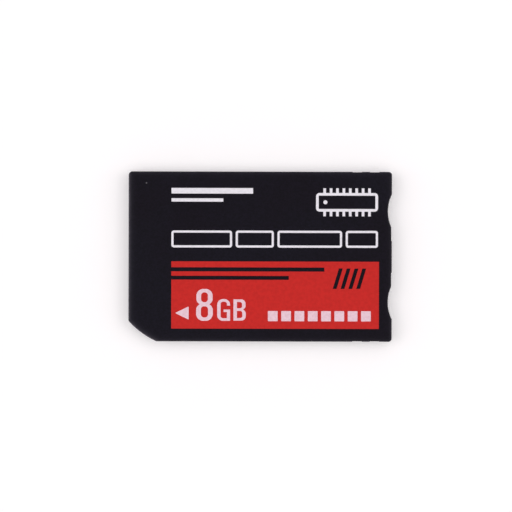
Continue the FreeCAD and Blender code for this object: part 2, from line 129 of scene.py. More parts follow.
class Graph:
    """The nodes of a material or of the surroundings, added and joined by short calls."""

    MIX_FIRST = 6
    MIX_SECOND = 7
    MIX_RESULT = 2

    def __init__(self, owner: bpy.types.Material | bpy.types.World, shader: str, place: str) -> None:
        """Take over the nodes that a new material or world starts with.

        Args:
            owner: The material or world.
            shader: The type of its shader node.
            place: The coordinates that its patterns read.
        """
        owner.use_nodes = True
        self.owner = owner
        self.tree = owner.node_tree
        self.shader = next(node for node in self.tree.nodes if node.type == shader)
        self.place = self.add("ShaderNodeTexCoord").outputs[place]

    @classmethod
    def of_material(cls, name: str) -> Graph:
        """Start a material with a principled shader and patterns on the piece's own coordinates."""
        return cls(bpy.data.materials.new(name), "BSDF_PRINCIPLED", "Object")

    @classmethod
    def of_world(cls, name: str) -> Graph:
        """Start the surroundings with a plain backdrop and patterns on the direction of view."""
        return cls(bpy.data.worlds.new(name), "BACKGROUND", "Generated")

    def add(self, kind: str, **settings: object) -> bpy.types.Node:
        """Add a node.

        Args:
            kind: The node's type name.
            settings: Properties of the node.

        Returns:
            The new node.
        """
        node = self.tree.nodes.new(kind)
        for name, value in settings.items():
            setattr(node, name, value)
        return node

    def put(self, target: bpy.types.NodeSocket, value: object) -> None:
        """Give an input a fixed value, or join an output to it.

        Args:
            target: The input.
            value: A number, a colour, a vector or another node's output.
        """
        if isinstance(value, bpy.types.NodeSocket):
            self.tree.links.new(value, target)
        elif target.type == "RGBA":
            target.default_value = (*value, 1.0)
        else:
            target.default_value = value

    def finish(self, **values: object) -> None:
        """Set the shader's inputs, with each name's underscores read as spaces."""
        for name, value in values.items():
            self.put(self.shader.inputs[name.replace("_", " ")], value)

    def stretched(self, scale: Triple) -> bpy.types.NodeSocket:
        """Stretch the piece's coordinates.

        Args:
            scale: The factor along each axis.

        Returns:
            The stretched coordinates.
        """
        mapping = self.add("ShaderNodeMapping", vector_type="POINT")
        self.put(mapping.inputs["Vector"], self.place)
        self.put(mapping.inputs["Scale"], scale)
        return mapping.outputs["Vector"]

    def noise(self, grain: float, detail: float = 2.0,
              along: Triple = (1.0, 1.0, 1.0)) -> bpy.types.NodeSocket:
        """Add a noise pattern.

        Args:
            grain: The size of its lumps in millimetres.
            detail: How many finer layers it has.
            along: How much it is squeezed along each axis.

        Returns:
            The pattern's value, from 0 to 1.
        """
        texture = self.add("ShaderNodeTexNoise")
        self.put(texture.inputs["Vector"], self.stretched(along))
        self.put(texture.inputs["Scale"], 1.0 / (grain * MM))
        self.put(texture.inputs["Detail"], detail)
        return texture.outputs["Fac"]

    def ranged(self, value: bpy.types.NodeSocket, span: Span, to: Span = (0.0, 1.0)) -> bpy.types.NodeSocket:
        """Map a value from one span to another, with smooth ends.

        Args:
            value: The output to map.
            span: The values to map from. A falling span turns the pattern round.
            to: The values to map to.

        Returns:
            The mapped value.
        """
        node = self.add("ShaderNodeMapRange", interpolation_type="SMOOTHSTEP")
        self.put(node.inputs["Value"], value)
        for name, number in zip(("From Min", "From Max", "To Min", "To Max"), (*span, *to)):
            self.put(node.inputs[name], number)
        return node.outputs["Result"]

    def maths(self, operation: str, first: object, second: object = 0.0) -> bpy.types.NodeSocket:
        """Work out one operation on numbers.

        Args:
            operation: The operation's name.
            first: A number or another node's output.
            second: The other one, where the operation takes two.

        Returns:
            The result.
        """
        node = self.add("ShaderNodeMath", operation=operation)
        self.put(node.inputs[0], first)
        self.put(node.inputs[1], second)
        return node.outputs["Value"]

    def blend(self, share: object, first: object, second: object) -> bpy.types.NodeSocket:
        """Blend two colours.

        Args:
            share: How much of the second colour there is, from 0 to 1.
            first: The first colour.
            second: The second colour.

        Returns:
            The blended colour.
        """
        node = self.add("ShaderNodeMix", data_type="RGBA")
        self.put(node.inputs["Factor"], share)
        self.put(node.inputs[self.MIX_FIRST], first)
        self.put(node.inputs[self.MIX_SECOND], second)
        return node.outputs[self.MIX_RESULT]

    def scaled(self, colour: bpy.types.NodeSocket, factor: bpy.types.NodeSocket) -> bpy.types.NodeSocket:
        """Make a colour lighter or darker.

        Args:
            colour: The colour.
            factor: What it is multiplied by.

        Returns:
            The new colour.
        """
        node = self.add("ShaderNodeVectorMath", operation="SCALE")
        self.put(node.inputs[0], colour)
        self.put(node.inputs["Scale"], factor)
        return node.outputs["Vector"]

    def axis(self, name: str) -> bpy.types.NodeSocket:
        """Pick one of the piece's coordinates.

        Args:
            name: X, Y or Z.

        Returns:
            The coordinate in metres.
        """
        parts = self.add("ShaderNodeSeparateXYZ")
        self.put(parts.inputs["Vector"], self.place)
        return parts.outputs[name]

    def upward(self) -> bpy.types.NodeSocket:
        """Measure how far the surface faces up.

        Returns:
            A value from -1, straight down, to 1, straight up.
        """
        parts = self.add("ShaderNodeSeparateXYZ")
        self.put(parts.inputs["Vector"], self.add("ShaderNodeNewGeometry").outputs["Normal"])
        return parts.outputs["Z"]

    def pair(self, operation: str, first: bpy.types.NodeSocket, second: Triple) -> bpy.types.NodeSocket:
        """Work out one number from two places.

        Args:
            operation: The operation's name, such as DISTANCE.
            first: The first place.
            second: The second place.

        Returns:
            The number.
        """
        node = self.add("ShaderNodeVectorMath", operation=operation)
        self.put(node.inputs[0], first)
        self.put(node.inputs[1], second)
        return node.outputs["Value"]

    def near(self, spot: Triple, inner: float, outer: float) -> bpy.types.NodeSocket:
        """Return a round spot: 1 within the inner radius of a place in millimetres, 0 past the outer."""
        away = self.pair("DISTANCE", self.place, tuple(length * MM for length in spot))
        return self.ranged(away, (outer * MM, inner * MM))

    def fading(self, depth: bpy.types.NodeSocket, halving: float) -> bpy.types.NodeSocket:
        """Return a value that is 1 at an edge and halves with every so many millimetres away from it."""
        steps = self.maths("DIVIDE", self.maths("MAXIMUM", depth, 0.0), halving * MM)
        return self.maths("POWER", 0.5, steps)

    def relief(self, height: bpy.types.NodeSocket, depth: float) -> None:
        """Raise the surface by a pattern.

        Args:
            height: The pattern, from 0 to 1.
            depth: How far its highest places rise, in millimetres.
        """
        bump = self.add("ShaderNodeBump")
        self.put(bump.inputs["Height"], height)
        self.put(bump.inputs["Distance"], depth * MM)
        self.put(bump.inputs["Strength"], 1.0)
        self.put(self.shader.inputs["Normal"], bump.outputs["Normal"])


@dataclass(frozen=True)
class CasePlastic:
    """Black moulded plastic with a fine spark-eroded grain, a paler edge tone that is painted highlight and
    rubbed wear, and one fleck of dust.
    """

    cool: Rgb = (0.0058, 0.0046, 0.0096)
    warm: Rgb = (0.0053, 0.0035, 0.0078)
    # Paler bluish tone of the edges: a painted highlight of the rounded rims, partly rubbed wear.
    edge_highlight_and_rub_tone: Rgb = (0.088, 0.08, 0.1)
    dust: Rgb = (0.13, 0.124, 0.136)
    fleck: Triple = (-13.39, 8.63, 1.6)
    fleck_radius: float = 0.12
    fleck_core: float = 0.04
    cloud: float = 9.0
    cloud_span: Span = (0.35, 0.65)
    speckle: float = 0.22
    speckled: Span = (0.72, 1.28)
    grain: float = 0.08
    grain_depth: float = 0.0035
    roughness: Span = (0.47, 0.55)
    specular: float = 0.34
    highlight_and_rub_grain: float = 0.5
    highlight_and_rub_patches: Span = (0.8, 1.15)
    highlight_and_rub_halving: float = 0.12
    highlight_and_rub_height: float = 0.45
    highlight_and_rub_full_height: float = 0.15
    held_highlight_and_rub: float = 0.29
    rounding_from_wall: Span = (0.1, 0.5)
    rounding_to_top: Span = (0.98, 0.75)
    key_length: float = 3.27
    key_width: float = 2.39
    key_bow: float = 10.0

    def key_depth(self, graph: Graph, corner: Vector) -> bpy.types.NodeSocket:
        """Measure how far inside the bowed keyed corner the surface is.

        Args:
            graph: The plastic's nodes.
            corner: Where the card's corner would be without the key, in metres.

        Returns:
            The distance in metres.
        """
        start = corner + Vector((self.key_length * MM, 0.0))
        end = corner + Vector((0.0, self.key_width * MM))
        middle, chord, bow = (start + end) / 2, end - start, self.key_bow * MM
        inward = Vector((chord.y, -chord.x)).normalized()
        centre = middle + inward * math.sqrt(bow ** 2 - (chord.length / 2) ** 2)
        flat = graph.stretched((1.0, 1.0, 0.0))
        from_bow = graph.maths("SUBTRACT", bow, graph.pair("DISTANCE", flat, (*centre, 0.0)))
        along_inward = graph.pair("DOT_PRODUCT", flat, (*inward, 0.0))
        from_chord = graph.maths("SUBTRACT", along_inward, inward.dot(middle))
        return graph.maths("MAXIMUM", from_bow, from_chord)

    def edge_highlight_and_rub(self, graph: Graph, low: Vector, high: Vector) -> bpy.types.NodeSocket:
        """Work out the share of the paler edge tone, a painted highlight with rubbed wear: most where the card
        slides in first, less where it is held.

        Args:
            graph: The plastic's nodes.
            low: The card's lowest corner, in metres.
            high: Its highest corner, in metres.

        Returns:
            The share of the paler tone of painted highlight and wear.
        """
        along, across, height = (graph.axis(name) for name in "XYZ")
        front = graph.maths("SUBTRACT", along, low.x)
        rear = graph.maths("SUBTRACT", high.x, along)
        side = graph.maths("SUBTRACT", high.y, graph.maths("ABSOLUTE", across))
        leading = graph.maths("MINIMUM", front, self.key_depth(graph, low.xy))
        trailing = graph.maths("MINIMUM", rear, side)
        # The rounded rims, found by which way the surface faces, get the painted highlight as well as wear.
        rounding = graph.maths("MULTIPLY", graph.ranged(graph.upward(), self.rounding_from_wall),
                               graph.ranged(graph.upward(), self.rounding_to_top))
        leading_highlight_and_rub = graph.fading(leading, self.highlight_and_rub_halving)
        trailing_highlight_and_rub = graph.maths("MAXIMUM", rounding, graph.fading(trailing, self.highlight_and_rub_halving))
        share = graph.maths("MAXIMUM", leading_highlight_and_rub, graph.maths("MULTIPLY", trailing_highlight_and_rub, self.held_highlight_and_rub))
        middle, reach = (low.z + high.z) / 2, (high.z - low.z) / 2
        level = graph.maths("ABSOLUTE", graph.maths("SUBTRACT", height, middle))
        rim = graph.ranged(level, (reach - self.highlight_and_rub_height * MM, reach - self.highlight_and_rub_full_height * MM))
        patches = graph.ranged(graph.noise(self.highlight_and_rub_grain, detail=3.0), NOISE_SPAN, self.highlight_and_rub_patches)
        return graph.maths("MULTIPLY", graph.maths("MULTIPLY", share, rim), patches)

    def material(self, low: Vector, high: Vector) -> bpy.types.Material:
        """Make the plastic's material.

        Args:
            low: The card's lowest corner, in metres.
            high: Its highest corner, in metres.

        Returns:
            The material.
        """
        graph = Graph.of_material("case_plastic")
        cloudy = graph.blend(graph.ranged(graph.noise(self.cloud), self.cloud_span), self.cool, self.warm)
        specks = graph.ranged(graph.noise(self.speckle, detail=1.0), NOISE_SPAN, self.speckled)
        # The edges turn paler: painted edge highlight, partly rubbed wear.
        highlighted_and_worn = graph.blend(self.edge_highlight_and_rub(graph, low, high), graph.scaled(cloudy, specks), self.edge_highlight_and_rub_tone)
        dusty = graph.blend(graph.near(self.fleck, self.fleck_core, self.fleck_radius), highlighted_and_worn, self.dust)
        grain = graph.noise(self.grain, detail=3.0)
        graph.finish(Base_Color=dusty, Roughness=graph.ranged(grain, NOISE_SPAN, self.roughness),
                     Specular_IOR_Level=self.specular)
        graph.relief(grain, self.grain_depth)
        return graph.owner


@dataclass(frozen=True)
class Ink:
    """Screen-printed ink, with the faint mottle of its mesh and the grain of the plastic under it."""

    name: str
    colour: Rgb
    mottled: Rgb
    mottle: float = 0.42
    mottle_span: Span = (0.35, 0.68)
    grain: float = 0.09
    grain_depth: float = 0.0022
    roughness: Span = (0.39, 0.47)
    specular: float = 0.4

    def material(self) -> bpy.types.Material:
        """Make the ink's material.

        Returns:
            The material.
        """
        graph = Graph.of_material(self.name)
        share = graph.ranged(graph.noise(self.mottle, detail=4.0), self.mottle_span)
        grain = graph.noise(self.grain, detail=3.0)
        graph.finish(Base_Color=graph.blend(share, self.colour, self.mottled),
                     Roughness=graph.ranged(grain, NOISE_SPAN, self.roughness),
                     Specular_IOR_Level=self.specular)
        graph.relief(grain, self.grain_depth)
        return graph.owner


@dataclass(frozen=True)
class GoldPlating:
    """Gold over copper, wiped along the card by the springs of a reader."""

    gold: Rgb = (0.86, 0.6, 0.25)
    dulled: Rgb = (0.62, 0.4, 0.16)
    scratch: float = 0.035
    scratch_run: float = 0.02
    scratch_span: Span = (0.35, 0.6)
    scratch_depth: float = 0.0012
    stain: float = 1.4
    stain_span: Span = (0.45, 0.75)
    stained: Span = (0.0, 0.7)
    roughness: Span = (0.18, 0.42)

    def material(self) -> bpy.types.Material:
        """Make the plating's material.

        Returns:
            The material.
        """
        graph = Graph.of_material("contact_plating")
        lines = graph.noise(self.scratch, along=(self.scratch_run, 1.0, 1.0))
        stain = graph.ranged(graph.noise(self.stain, detail=3.0), self.stain_span, self.stained)
        wiped = graph.maths("MULTIPLY", stain, graph.ranged(lines, self.scratch_span))
        graph.finish(Base_Color=graph.blend(wiped, self.gold, self.dulled), Metallic=1.0,
                     Roughness=graph.ranged(lines, NOISE_SPAN, self.roughness))
        graph.relief(lines, self.scratch_depth)
        return graph.owner


@dataclass(frozen=True)
class SolderMask:
    """Green solder mask over copper tracks, with the board's woven glass at its cut edge."""

    mask: Rgb = (0.012, 0.085, 0.04)
    over_copper: Rgb = (0.03, 0.16, 0.06)
    weave: Rgb = (0.36, 0.34, 0.17)
    track_pitch: float = 0.5
    track_span: Span = (0.45, 0.6)
    track_depth: float = 0.02
    run: float = 3.2
    run_squeeze: Triple = (0.4, 1.0, 1.0)
    run_span: Span = (0.45, 0.5)
    face_span: Span = (0.4, 0.6)
    thread: float = 0.06
    thread_squeeze: Triple = (0.2, 0.2, 1.0)
    roughness: float = 0.32

    def material(self) -> bpy.types.Material:
        """Make the board's material.

        Returns:
            The material.
        """
        graph = Graph.of_material("board_mask")
        waves = graph.add("ShaderNodeTexWave", wave_type="BANDS", bands_direction="Y")
        graph.put(waves.inputs["Vector"], graph.place)
        graph.put(waves.inputs["Scale"], WAVE_LENGTH / (self.track_pitch * MM))
        runs = graph.ranged(graph.noise(self.run, detail=1.0, along=self.run_squeeze), self.run_span)
        tracks = graph.maths("MULTIPLY", graph.ranged(waves.outputs["Fac"], self.track_span), runs)
        flat = graph.ranged(graph.maths("ABSOLUTE", graph.upward()), self.face_span)
        face = graph.blend(tracks, self.mask, self.over_copper)
        threads = graph.blend(graph.noise(self.thread, along=self.thread_squeeze), self.weave, self.mask)
        graph.finish(Base_Color=graph.blend(flat, threads, face), Roughness=self.roughness)
        graph.relief(tracks, self.track_depth)
        return graph.owner


@dataclass(frozen=True)
class MouldedEpoxy:
    """Filled epoxy of a chip package, dull and slightly speckled."""

    epoxy: Rgb = (0.016, 0.016, 0.018)
    filler: Rgb = (0.05, 0.05, 0.052)
    speckle: float = 0.07
    filler_span: Span = (0.55, 0.8)
    depth: float = 0.003
    roughness: Span = (0.55, 0.75)

    def material(self) -> bpy.types.Material:
        """Make the epoxy's material.

        Returns:
            The material.
        """
        graph = Graph.of_material("chip_epoxy")
        specks = graph.noise(self.speckle, detail=3.0)
        graph.finish(Base_Color=graph.blend(graph.ranged(specks, self.filler_span), self.epoxy, self.filler),
                     Roughness=graph.ranged(specks, NOISE_SPAN, self.roughness))
        graph.relief(specks, self.depth)
        return graph.owner


@dataclass(frozen=True)
class CappedBlock:
    """The body of a capacitor or resistor between tinned end caps, for pieces in one row across the card."""

    name: str
    body: Rgb
    fired: Rgb
    tin: Rgb = (0.72, 0.71, 0.69)
    cap: float = 0.22
    blend_width: float = 0.01
    grain: float = 0.09
    fired_span: Span = (0.35, 0.65)
    depth: float = 0.002
    roughness: Span = (0.3, 0.45)

    def material(self, row_front: float, row_rear: float) -> bpy.types.Material:
        """Make the material of one row of pieces.

        Args:
            row_front: Where the pieces start along the card, in metres.
            row_rear: Where they end, in metres.

        Returns:
            The material.
        """
        graph = Graph.of_material(self.name)
        along = graph.axis("X")
        cap, soft = self.cap * MM, self.blend_width * MM
        front = graph.ranged(along, (row_front + cap + soft, row_front + cap))
        rear = graph.ranged(along, (row_rear - cap - soft, row_rear - cap))
        capped = graph.maths("MAXIMUM", front, rear)
        grain = graph.noise(self.grain, detail=3.0)
        ceramic = graph.blend(graph.ranged(grain, self.fired_span), self.body, self.fired)
        graph.finish(Base_Color=graph.blend(capped, ceramic, self.tin), Metallic=capped,
                     Roughness=graph.ranged(grain, NOISE_SPAN, self.roughness))
        graph.relief(grain, self.depth)
        return graph.owner


RED_INK = Ink("red_ink", (0.593, 0.0228, 0.0198), (0.535, 0.0204, 0.0179))
WHITE_ON_BLACK = Ink("white_ink", (0.84, 0.8, 0.86), (0.77, 0.735, 0.79), mottle=0.25)
WHITE_ON_RED = Ink("white_ink_on_red", (0.85, 0.61, 0.685), (0.785, 0.53, 0.605), mottle=0.25)
CAPACITOR = CappedBlock("capacitor_ceramic", (0.4, 0.27, 0.15), (0.33, 0.21, 0.11))
RESISTOR = CappedBlock("resistor_film", (0.028, 0.028, 0.033), (0.045, 0.045, 0.05))


class Outline:
    """Draws closed outlines on a flat sheet from straight runs, bends and corners, and fills them."""

    STEPS_PER_TURN = 72
    FEWEST_STEPS = 2
    JOIN_DISTANCE = 0.0005

    def __init__(self) -> None:
        """Lay out an empty sheet."""
        self.sheet = bmesh.new()
        self.tip: bmesh.types.BMVert | None = None
        self.heading = Vector((1.0, 0.0, 0.0))

    def start(self, spot: Spot, degrees: float = 0.0) -> Outline:
        """Set the pen down.

        Args:
            spot: Where the outline starts.
            degrees: The angle from the X axis that the pen heads at.

        Returns:
            The outline, for the next stretch.
        """
        self.tip = self.sheet.verts.new((*spot, 0.0))
        self.heading = Matrix.Rotation(math.radians(degrees), 3, "Z") @ Vector((1.0, 0.0, 0.0))
        return self

    def run(self, length: float) -> Outline:
        """Draw straight on.

        Args:
            length: How far.

        Returns:
            The outline, for the next stretch.
        """
        self.tip = bmesh.ops.extrude_vert_indiv(self.sheet, verts=[self.tip])["verts"][0]
        bmesh.ops.translate(self.sheet, verts=[self.tip], vec=self.heading * length)
        return self

    def corner(self, side: Side, degrees: float = 90.0) -> Outline:
        """Turn on the spot."""
        self.heading = Matrix.Rotation(math.radians(degrees) * side.value, 3, "Z") @ self.heading
        return self

    def bend(self, side: Side, radius: float, degrees: float = 90.0) -> Outline:
        """Draw round an arc.

        Args:
            side: Which way the arc bends.
            radius: Its radius.
            degrees: How far it bends.

        Returns:
            The outline, for the next stretch.
        """
        left = Vector((-self.heading.y, self.heading.x, 0.0))
        swept = bmesh.ops.spin(self.sheet, geom=[self.tip], cent=self.tip.co + left * radius * side.value,
                               axis=(0.0, 0.0, 1.0), angle=math.radians(degrees) * side.value,
                               steps=max(self.FEWEST_STEPS, round(self.STEPS_PER_TURN * degrees / 360)))
        self.tip = next(item for item in swept["geom_last"] if isinstance(item, bmesh.types.BMVert))
        return self.corner(side, degrees)

    def box(self, low: Spot, high: Spot, radius: float) -> Outline:
        """Draw a box with round corners.

        Args:
            low: Its lower left corner.
            high: Its upper right corner.
            radius: The radius of its corners.

        Returns:
            The outline.
        """
        wide, tall = (far - near - 2 * radius for near, far in zip(low, high))
        self.start((low[0] + radius, low[1]))
        for length in (wide, tall, wide, tall):
            self.run(length).bend(Side.LEFT, radius)
        return self

    def fill(self) -> bmesh.types.BMesh:
        """Close and fill every outline on the sheet, with the inner ones left open.

        Returns:
            The sheet, which the outline gives up.
        """
        bmesh.ops.remove_doubles(self.sheet, verts=list(self.sheet.verts), dist=self.JOIN_DISTANCE)
        bmesh.ops.triangle_fill(self.sheet, use_beauty=True, use_dissolve=False,
                                edges=list(self.sheet.edges), normal=(0.0, 0.0, 1.0))
        return self.sheet


@dataclass(frozen=True)
class Bowls:
    """The two stacked bowls of an 8 or a B, which meet in a small nick at the waist."""

    height: float
    waist: float
    lower_reach: float
    upper_reach: float
    foot_radius: float
    head_radius: float
    neck_radius: float
    nick_radius: float

    NICK_BEND = 60.0

    @property
    def rise(self) -> float:
        """How far up an arc of the nick's bend goes, as a share of its radius."""
        return math.sin(math.radians(self.NICK_BEND))

    @property
    def depth(self) -> float:
        """How far in an arc of the nick's bend goes, as a share of its radius."""
        return 1.0 - math.cos(math.radians(self.NICK_BEND))

    @property
    def throat_radius(self) -> float:
        """The radius of the upper bowl where it comes out of the nick."""
        step = self.upper_reach - self.lower_reach
        return step / self.depth + self.neck_radius

    @property
    def lower_side(self) -> float:
        """The straight side of the lower bowl."""
        return self.waist - self.foot_radius - self.rise * (self.neck_radius + self.nick_radius)

    @property
    def upper_side(self) -> float:
        """The straight side of the upper bowl."""
        neck = self.rise * (self.throat_radius + self.nick_radius)
        return self.height - self.waist - self.head_radius - neck

    def draw_up(self, outline: Outline) -> Outline:
        """Draw the right side.

        Args:
            outline: The outline, with its pen at the foot.

        Returns:
            The outline, with its pen at the head.
        """
        outline.bend(Side.LEFT, self.foot_radius).run(self.lower_side)
        outline.bend(Side.LEFT, self.neck_radius, self.NICK_BEND)
        outline.bend(Side.RIGHT, self.nick_radius, 2 * self.NICK_BEND)
        outline.bend(Side.LEFT, self.throat_radius, self.NICK_BEND)
        return outline.run(self.upper_side).bend(Side.LEFT, self.head_radius)

    def draw_down(self, outline: Outline) -> Outline:
        """Draw the left side.

        Args:
            outline: The outline, with its pen at the head.

        Returns:
            The outline, with its pen at the foot.
        """
        outline.bend(Side.LEFT, self.head_radius).run(self.upper_side)
        outline.bend(Side.LEFT, self.throat_radius, self.NICK_BEND)
        outline.bend(Side.RIGHT, self.nick_radius, 2 * self.NICK_BEND)
        outline.bend(Side.LEFT, self.neck_radius, self.NICK_BEND)
        return outline.run(self.lower_side).bend(Side.LEFT, self.foot_radius)


def new_piece(shape: bmesh.types.BMesh, name: str, material: bpy.types.Material) -> bpy.types.Object:
    """Turn a finished shape in metres into a piece of the card.

    Args:
        shape: The shape, which is used up.
        name: The piece's name.
        material: Its finish.

    Returns:
        The piece.
    """
    mesh = bpy.data.meshes.new(name)
    shape.to_mesh(mesh)
    shape.free()
    piece = bpy.data.objects.new(name, mesh)
    bpy.context.scene.collection.objects.link(piece)
    mesh.materials.append(material)
    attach(piece, BODY)
    LOG.info("%s: %d faces", name, len(mesh.polygons))
    return piece


def dress_node(frame: dict, name: str, material: bpy.types.Material) -> None:
    """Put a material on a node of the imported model.

    Args:
        frame: The loaded frame.
        name: The node.
        material: Its new finish.
    """
    materials = frame["nodes"][name].data.materials
    materials.clear()
    materials.append(material)
    LOG.info("%s dressed in %s", name, material.name)


@dataclass
class Case:
    """The two welded covers, with their facets joined into smooth rounded edges."""

    frame: dict
    finish: CasePlastic = CasePlastic()
    covers: tuple[str, ...] = ("top_cover", "bottom_cover")
    weld_distance: float = 0.0002
    rim_facing: Span = (0.02, 0.998)
    flat_angle: float = 0.2
    sharp_angle: float = 40.0
    flat_weight: int = 100

    def build(self) -> None:
        """Make both covers."""
        material = self.finish.material(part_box("bottom_cover")[0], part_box("top_cover")[1])
        for name in self.covers:
            self.build_cover(name, material)

    def build_cover(self, name: str, material: bpy.types.Material) -> None:
        """Join one cover's loose facets, smooth its rounded edges and keep the sharp ones.

        Args:
            name: The cover's node.
            material: The plastic.
        """
        shape = bmesh.new()
        shape.from_mesh(self.frame["nodes"][name].data)
        bmesh.ops.remove_doubles(shape, verts=list(shape.verts), dist=self.weld_distance * MM)
        self.even_rims(shape)
        bmesh.ops.dissolve_limit(shape, angle_limit=math.radians(self.flat_angle),
                                 verts=list(shape.verts), edges=list(shape.edges))
        for face in shape.faces:
            face.smooth = True
        for edge in shape.edges:
            edge.smooth = edge.calc_face_angle(0.0) < math.radians(self.sharp_angle)
        piece = new_piece(shape, f"{name}_moulding", material)
        weighted = piece.modifiers.new("flat_faces", "WEIGHTED_NORMAL")
        weighted.keep_sharp = True
        weighted.weight = self.flat_weight
        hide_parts(name)

    def even_rims(self, shape: bmesh.types.BMesh) -> None:
        """Turn the triangles of the rounded rims the smoother way.

        A triangle is part of a rim when it faces up or down neither fully nor not at all.

        Args:
            shape: The joined triangles of a cover.
        """
        least, most = self.rim_facing
        rims = [face for face in shape.faces if least < abs(face.normal.z) < most]
        known = set(rims)
        inside = [edge for edge in shape.edges if known.issuperset(edge.link_faces)]
        bmesh.ops.beautify_fill(shape, faces=rims, edges=inside, method="ANGLE")


@dataclass
class RedField:
    """The red ink field, which stays as the model has it."""

    frame: dict
    finish: Ink = RED_INK

    def dress(self) -> None:
        """Give the field its ink."""
        dress_node(self.frame, "red_print", self.finish.material())


@dataclass
class Electronics:
    """The board with its contacts, packages and chip parts."""

    frame: dict
    plating: GoldPlating = GoldPlating()
    mask: SolderMask = SolderMask()
    epoxy: MouldedEpoxy = MouldedEpoxy()
    packages: tuple[str, ...] = ("flash_chip", "controller_chip")

    def dress(self) -> None:
        """Give every piece inside the case its finish."""
        dress_node(self.frame, "circuit_board", self.mask.material())
        epoxy = self.epoxy.material()
        for name in self.packages:
            dress_node(self.frame, name, epoxy)
        self.dress_row("contact_", self.plating.material())
        for prefix, finish in (("capacitor_", CAPACITOR), ("resistor_", RESISTOR)):
            low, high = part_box(f"{prefix}1")
            self.dress_row(prefix, finish.material(low.x, high.x))

    def dress_row(self, prefix: str, material: bpy.types.Material) -> None:
        """Put one material on a row of nodes.

        Args:
            prefix: What the nodes' names start with.
            material: Their new finish.
        """
        for name in sorted(self.frame["nodes"]):
            if name.startswith(prefix):
                dress_node(self.frame, name, material)


@dataclass
class WhitePrint:
    """The white marks: bars, a chip sign and boxes on the black, and arrow, capacity and gauge on the red."""

    ink_thickness: float = 0.012
    ink_spread: float = 0.06
    head_drop: float = 1.95
    rear_inset: float = 0.12

    bar_length: float = 9.6
    bar_width: float = 0.66
    short_bar_length: float = 6.1
    short_bar_width: float = 0.4
    bar_gap: float = 0.55

    sign_width: float = 7.3
    sign_height: float = 3.3
    sign_stroke: float = 0.32
    sign_radius: float = 0.42
    sign_leg_length: float = 0.55
    sign_leg_width: float = 0.32
    sign_legged_sides: int = 2
    sign_legs: int = 8
    sign_dot: float = 0.24
    sign_dot_sides: int = 32
    sign_dot_inset: float = 1.1

    field_drop: float = 6.95
    field_height: float = 2.0
    field_stroke: float = 0.26
    field_radius: float = 0.3
    field_gap: float = 0.42
    field_shares: tuple[float, ...] = (0.31, 0.195, 0.33, 0.165)

    arrow_inset: float = 0.45
    arrow_length: float = 1.6
    arrow_height: float = 1.55
    arrow_rise: float = 1.83

    capacity_rise: float = 0.92
    digit_inset: float = 2.93
    digit_bowls: Bowls = Bowls(height=3.745, waist=1.945, lower_reach=0.98, upper_reach=0.955,
                               foot_radius=0.82, head_radius=0.81, neck_radius=0.7, nick_radius=0.07)
    digit_stroke: float = 0.4
    digit_crossing: float = 0.475
    digit_wall: float = 0.56
    digit_counter_radius: float = 0.37

    unit_inset: float = 5.4
    unit_height: float = 2.56
    unit_stroke: float = 0.31
    unit_wall: float = 0.41
    unit_gap: float = 0.39
    letter_g_width: float = 1.53
    letter_g_right_wall: float = 0.38
    letter_g_radius: float = 0.69
    letter_g_hollow_radius: float = 0.28
    letter_g_lip: float = 0.77
    letter_g_bar_rise: float = 1.33
    letter_g_bar: float = 0.77
    letter_g_bar_stroke: float = 0.29
    letter_b_rise: float = 0.03
    letter_b_bowls: Bowls = Bowls(height=2.5, waist=1.3, lower_reach=1.45, upper_reach=1.42,
                                  foot_radius=0.53, head_radius=0.51, neck_radius=0.53, nick_radius=0.05)
    letter_b_counter_radius: float = 0.24

    gauge_rise: float = 0.89
    gauge_cells: int = 8
    gauge_length: float = 12.1
    gauge_height: float = 1.2
    gauge_gap: float = 0.42
    gauge_rear: float = 0.95

    def build(self) -> None:
        """Print every mark."""
        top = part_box("top_cover")[1] / MM
        low, high = (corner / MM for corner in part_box("red_print"))
        black, red = WHITE_ON_BLACK.material(), WHITE_ON_RED.material()
        foot = low.y + self.capacity_rise
        self.lay(self.bars(low.x, top.y - self.head_drop), "print_bars", top.z, black)
        right = high.x - self.rear_inset
        self.lay(self.chip_sign(right, top.y - self.head_drop), "print_chip_sign", top.z, black)
        self.lay(self.fields(low.x, right, top.y - self.field_drop), "print_fields", top.z, black)
        self.lay(self.arrow(low.x + self.arrow_inset, low.y + self.arrow_rise), "print_arrow", high.z, red)
        self.lay(self.digit(low.x + self.digit_inset, foot), "print_digit", high.z, red)
        letter_g_left = low.x + self.unit_inset
        letter_b_left = letter_g_left + self.letter_g_width + self.unit_gap
        self.lay(self.letter_g(letter_g_left, foot), "print_letter_g", high.z, red)
        self.lay(self.letter_b(letter_b_left, foot + self.letter_b_rise), "print_letter_b", high.z, red)
        self.lay(self.gauge(high.x - self.gauge_rear, low.y + self.gauge_rise), "print_gauge", high.z, red)

    def lay(self, sheet: bmesh.types.BMesh, name: str, base: float, material: bpy.types.Material) -> None:
        """Lay a filled sheet of ink on the card.

        Args:
            sheet: The flat shape.
            name: The piece's name.
            base: The height that the ink lies on.
            material: The ink.
        """
        made = bmesh.ops.extrude_face_region(sheet, geom=list(sheet.faces))["geom"]
        raised = [item for item in made if isinstance(item, bmesh.types.BMVert)]
        bmesh.ops.translate(sheet, verts=raised, vec=(0.0, 0.0, self.ink_thickness))
        bmesh.ops.recalc_face_normals(sheet, faces=list(sheet.faces))
        bmesh.ops.translate(sheet, verts=list(sheet.verts), vec=(0.0, 0.0, base))
        bmesh.ops.scale(sheet, verts=list(sheet.verts), vec=(MM, MM, MM))
        new_piece(sheet, name, material)

    def bars(self, left: float, top: float) -> bmesh.types.BMesh:
        """Draw a long bar over a short one.

        Args:
            left: Where both bars start.
            top: The upper edge of the long one.

        Returns:
            The filled sheet.
        """
        outline = Outline()
        outline.box((left, top - self.bar_width), (left + self.bar_length, top), self.ink_spread)
        top -= self.bar_width + self.bar_gap
        outline.box((left, top - self.short_bar_width), (left + self.short_bar_length, top), self.ink_spread)
        return outline.fill()

